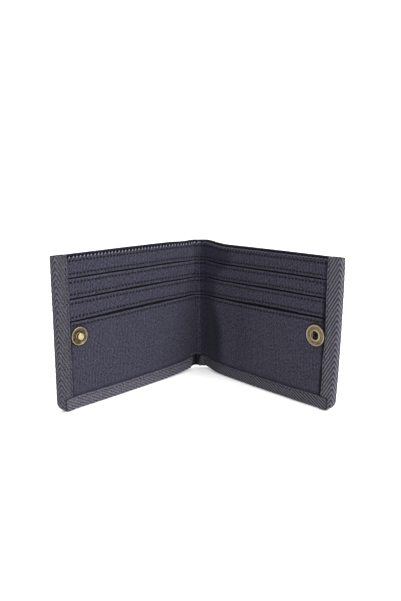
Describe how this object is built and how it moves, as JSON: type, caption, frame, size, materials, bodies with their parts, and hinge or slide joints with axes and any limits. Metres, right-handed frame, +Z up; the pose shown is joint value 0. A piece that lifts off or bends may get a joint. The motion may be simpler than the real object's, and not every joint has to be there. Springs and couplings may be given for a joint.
{
  "type": "bifold wallet",
  "caption": "Fabric bifold wallet standing open on its lower edge, with stacked card pockets, a bill compartment, taped edges and a snap closure.",
  "frame": {"origin": "bottom centre of the wallet's bounding box, on the plane it stands on", "axes": "+Z up along the spine, +X to the wearer's right along the opened width, the V opens towards -Y and the spine strip is at the back"},
  "size_m": [0.1634, 0.0852, 0.09],
  "materials": {
    "shell_fabric": "fine ribbed canvas, dark slate",
    "interlining": "non-woven stiffener",
    "lining_fabric": "plain woven, dark slate",
    "pocket_fabric": "fine ribbed canvas, dark slate",
    "binding_tape": "herringbone twill tape, slate grey",
    "thread": "spun polyester sewing thread",
    "snap_brass": "light antique brass",
    "snap_antique": "antique brass, darker in the recess",
    "spring_wire": "drawn wire"
  },
  "bodies": {
    "spine": {"outer_shell_spine": "shell_fabric", "shell_interlining_spine": "interlining", "bill_lining_spine": "lining_fabric", "divider_spine": "lining_fabric", "top_facing_spine": "pocket_fabric", "card_pocket_upper_spine": "pocket_fabric", "card_pocket_middle_spine": "pocket_fabric", "card_pocket_lower_spine": "pocket_fabric", "bottom_binding_spine": "binding_tape", "spine_stitching": "thread"},
    "left_half": {"outer_shell_left": "shell_fabric", "shell_interlining_left": "interlining", "bill_lining_left": "lining_fabric", "divider_left": "lining_fabric", "top_facing_left": "pocket_fabric", "card_pocket_upper_left": "pocket_fabric", "card_pocket_middle_left": "pocket_fabric", "card_pocket_lower_left": "pocket_fabric", "side_binding_left": "binding_tape", "bottom_binding_left": "binding_tape", "pocket_topstitching_left": "thread", "binding_stitching_left": "thread", "snap_stud": "snap_brass", "snap_stud_rivet": "snap_brass"},
    "right_half": {"outer_shell_right": "shell_fabric", "shell_interlining_right": "interlining", "bill_lining_right": "lining_fabric", "divider_right": "lining_fabric", "top_facing_right": "pocket_fabric", "card_pocket_upper_right": "pocket_fabric", "card_pocket_middle_right": "pocket_fabric", "card_pocket_lower_right": "pocket_fabric", "side_binding_right": "binding_tape", "bottom_binding_right": "binding_tape", "pocket_topstitching_right": "thread", "binding_stitching_right": "thread", "snap_socket": "snap_antique", "snap_socket_eyelet": "snap_antique", "snap_spring": "spring_wire"}
  },
  "joints": [
    {"name": "left_fold", "type": "hinge", "parent": "spine", "child": "left_half", "pos_m": [-0.005, 0.04201, 0.045], "axis": [0, 0, 1], "range_deg": [-47, 43]},
    {"name": "right_fold", "type": "hinge", "parent": "spine", "child": "right_half", "pos_m": [0.005, 0.04201, 0.045], "axis": [0, 0, -1], "range_deg": [-47, 43], "deforming": ["snap_spring"]}
  ],
  "couplings": [
    {"joint": "right_fold", "follows": "left_fold", "ratio": 1}
  ]
}
